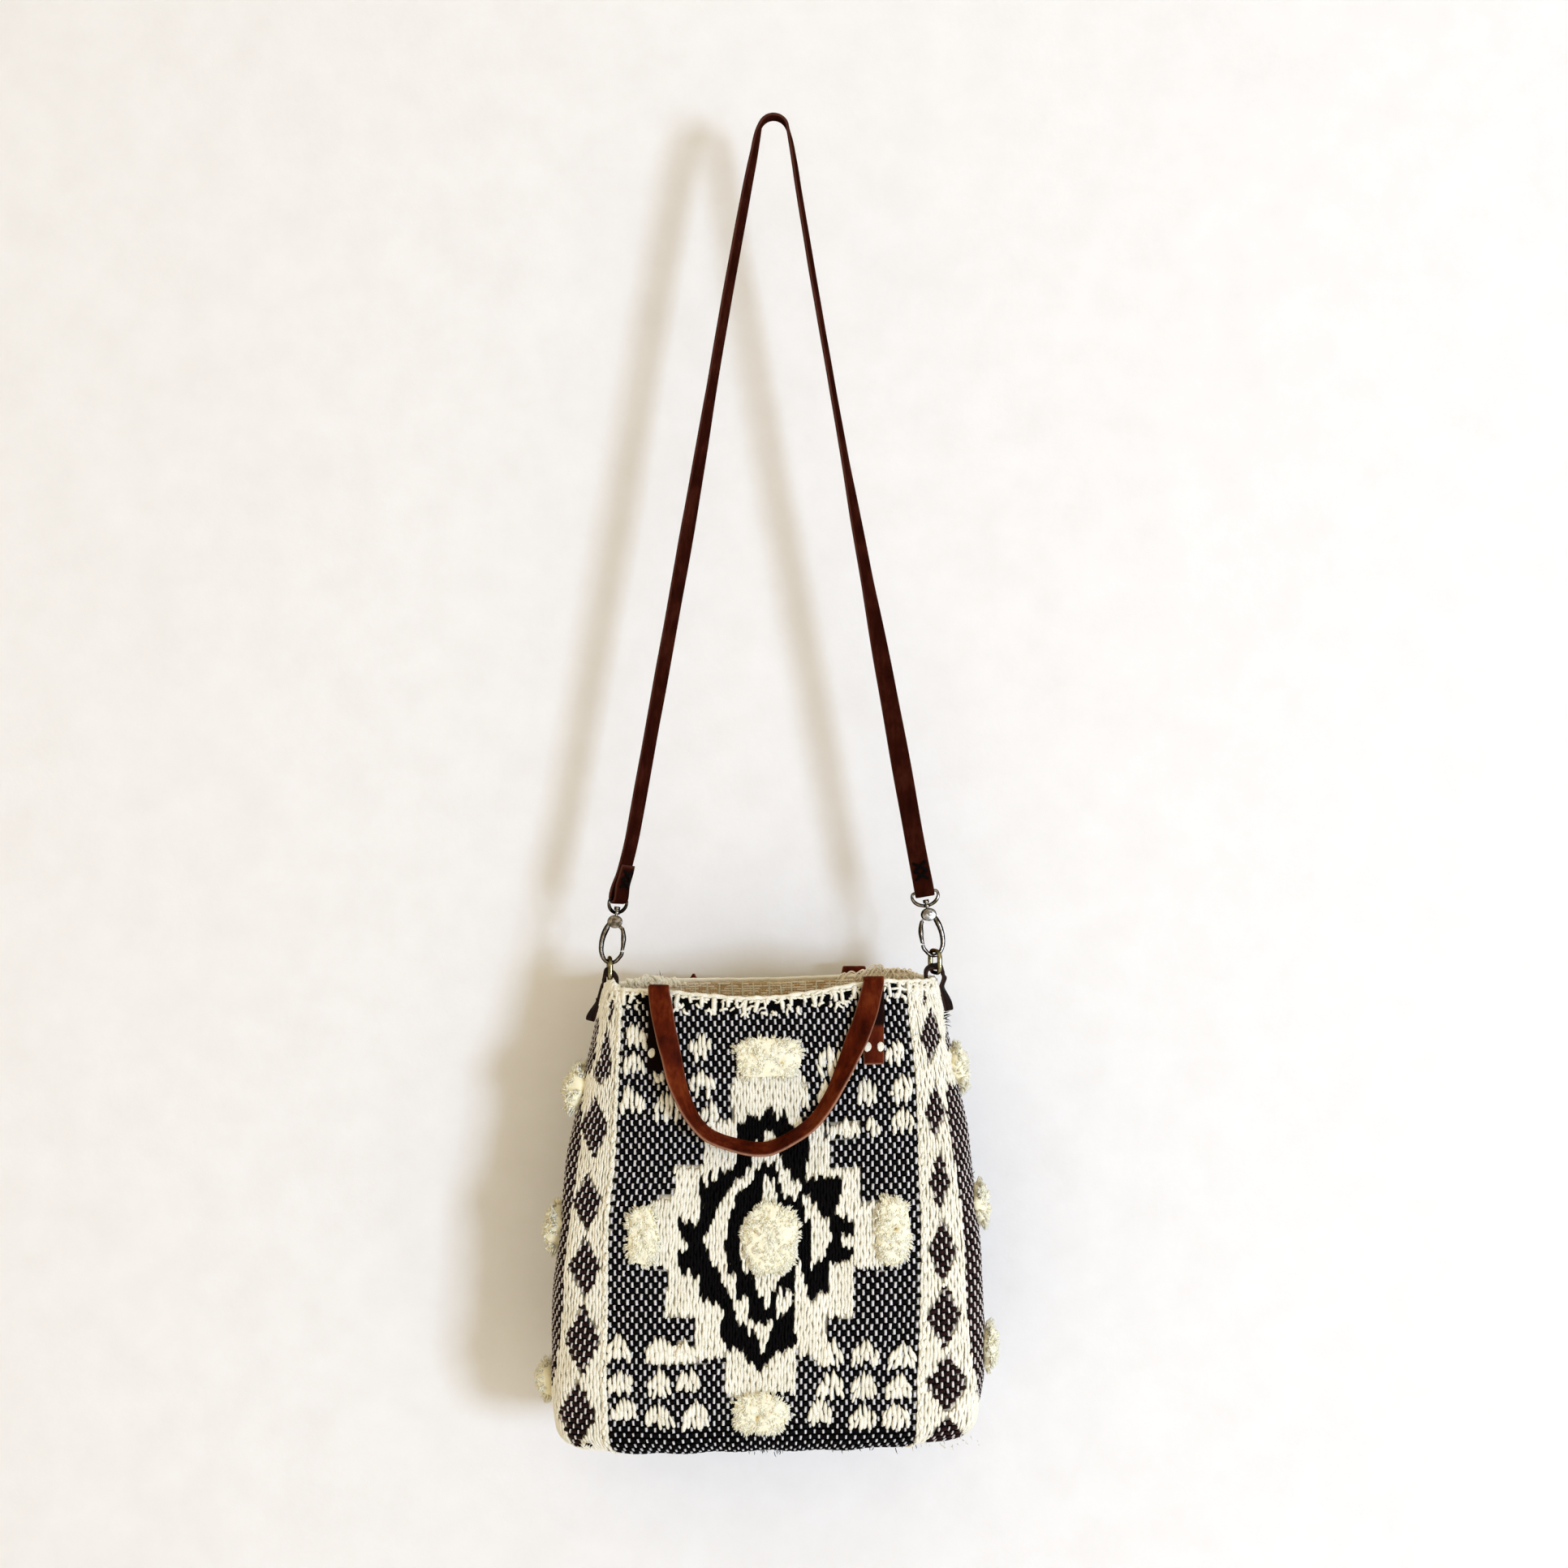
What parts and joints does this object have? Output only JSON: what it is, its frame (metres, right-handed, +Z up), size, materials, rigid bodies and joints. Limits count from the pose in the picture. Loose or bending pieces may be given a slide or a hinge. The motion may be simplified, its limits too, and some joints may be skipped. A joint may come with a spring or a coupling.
{
  "type": "tote bag",
  "caption": "Hand-woven cotton tote bag with short leather handles and a long leather shoulder strap on swivel snap hooks.",
  "frame": {"origin": "inner surface of the shoulder strap at its highest point, where the bag hangs", "axes": "+Z up, +Y from the front of the bag to its back, +X to the right as the front is faced"},
  "size_m": [0.3264, 0.1403, 0.9759],
  "materials": {
    "strap_leather": "smooth, very dark brown",
    "handle_leather": "smooth, deep red brown with pale cut edges",
    "tab_leather": "matt, near black brown",
    "lacing": "matt black thong",
    "steel": "worn nickel plate",
    "brass": "aged brass",
    "woven_cotton": "coarse hand weave, black and pale grey checks with cream brocade",
    "lining_cotton": "plain beige cotton",
    "cream_yarn": "thick cream cotton yarn",
    "tuft_wool": "loose pale wool pile"
  },
  "bodies": {
    "strap": {"shoulder_strap": "strap_leather", "left_strap_lacing": "lacing", "right_strap_lacing": "lacing", "left_swivel_eye": "steel", "right_swivel_eye": "steel"},
    "left_hook": {"left_hook_body": "steel", "left_gate_pin": "steel", "left_gate_spring": "steel"},
    "left_gate": {"left_gate": "steel"},
    "right_hook": {"right_hook_body": "steel", "right_gate_pin": "steel", "right_gate_spring": "steel"},
    "right_gate": {"right_gate": "steel"},
    "bag": {"bag_shell": "woven_cotton", "lining": "lining_cotton", "mouth_facing": "lining_cotton", "rim_cord": "cream_yarn", "left_tab": "tab_leather", "right_tab": "tab_leather", "left_tab_stitch": "lacing", "right_tab_stitch": "lacing", "front_left_anchor": "handle_leather", "front_right_anchor": "handle_leather", "back_left_anchor": "handle_leather", "back_right_anchor": "handle_leather", "front_left_stitch_a": "cream_yarn", "front_left_stitch_b": "cream_yarn", "front_right_stitch_a": "cream_yarn", "front_right_stitch_b": "cream_yarn", "back_left_stitch_a": "cream_yarn", "back_left_stitch_b": "cream_yarn", "back_right_stitch_a": "cream_yarn", "back_right_stitch_b": "cream_yarn", "front_tuft_top": "tuft_wool", "front_tuft_left": "tuft_wool", "front_tuft_middle": "tuft_wool", "front_tuft_right": "tuft_wool", "front_tuft_bottom": "tuft_wool", "back_tuft_top": "tuft_wool", "back_tuft_left": "tuft_wool", "back_tuft_middle": "tuft_wool", "back_tuft_right": "tuft_wool", "back_tuft_bottom": "tuft_wool", "left_tuft_1": "tuft_wool", "left_tuft_2": "tuft_wool", "left_tuft_3": "tuft_wool", "right_tuft_1": "tuft_wool", "right_tuft_2": "tuft_wool", "right_tuft_3": "tuft_wool"},
    "left_ring": {"left_ring": "brass"},
    "right_ring": {"right_ring": "brass"},
    "front_handle": {"front_handle": "handle_leather"},
    "back_handle": {"back_handle": "handle_leather"}
  },
  "joints": [
    {"name": "left_swivel", "type": "hinge", "parent": "strap", "child": "left_hook", "pos_m": [-0.1146, 0, -0.577], "axis": [-0.134, 0, -0.991], "range_deg": [-28, 28]},
    {"name": "left_gate_hinge", "type": "hinge", "parent": "left_hook", "child": "left_gate", "pos_m": [-0.11756, 0, -0.59295], "axis": [0, 1, 0], "range_deg": [0, 25], "stiffness_Nm_per_rad": 0.01, "springref_deg": -11.46},
    {"name": "right_swivel", "type": "hinge", "parent": "strap", "child": "right_hook", "pos_m": [0.1116, 0, -0.5718], "axis": [0.165, 0, -0.9863], "range_deg": [-30, 18]},
    {"name": "right_gate_hinge", "type": "hinge", "parent": "right_hook", "child": "right_gate", "pos_m": [0.11505, 0.00017, -0.58765], "axis": [0.2051, -0.9781, 0.0343], "range_deg": [0, 25], "stiffness_Nm_per_rad": 0.01, "springref_deg": -11.46},
    {"name": "bag_swing", "type": "hinge", "parent": "strap", "child": "bag", "pos_m": [-0.00076, 0, -0.62136], "axis": [0.9997, 0, 0.0226], "range_deg": [-30, 30]},
    {"name": "left_ring_rock", "type": "hinge", "parent": "bag", "child": "left_ring", "pos_m": [-0.12096, 0, -0.63667], "axis": [-0.1392, 0.9903, 0], "range_deg": [-2, 2]},
    {"name": "right_ring_rock", "type": "hinge", "parent": "bag", "child": "right_ring", "pos_m": [0.11944, 0, -0.63125], "axis": [-0.2924, 0.9563, 0], "range_deg": [-2, 2]},
    {"name": "front_handle_fold", "type": "hinge", "parent": "bag", "child": "front_handle", "pos_m": [-0.005, -0.0453, -0.6358], "axis": [-0.9992, 0, -0.039], "range_deg": [0, 170]},
    {"name": "back_handle_fold", "type": "hinge", "parent": "bag", "child": "back_handle", "pos_m": [-0.0025, 0.0478, -0.636], "axis": [0.9998, 0, 0.022], "range_deg": [0, 170]}
  ]
}
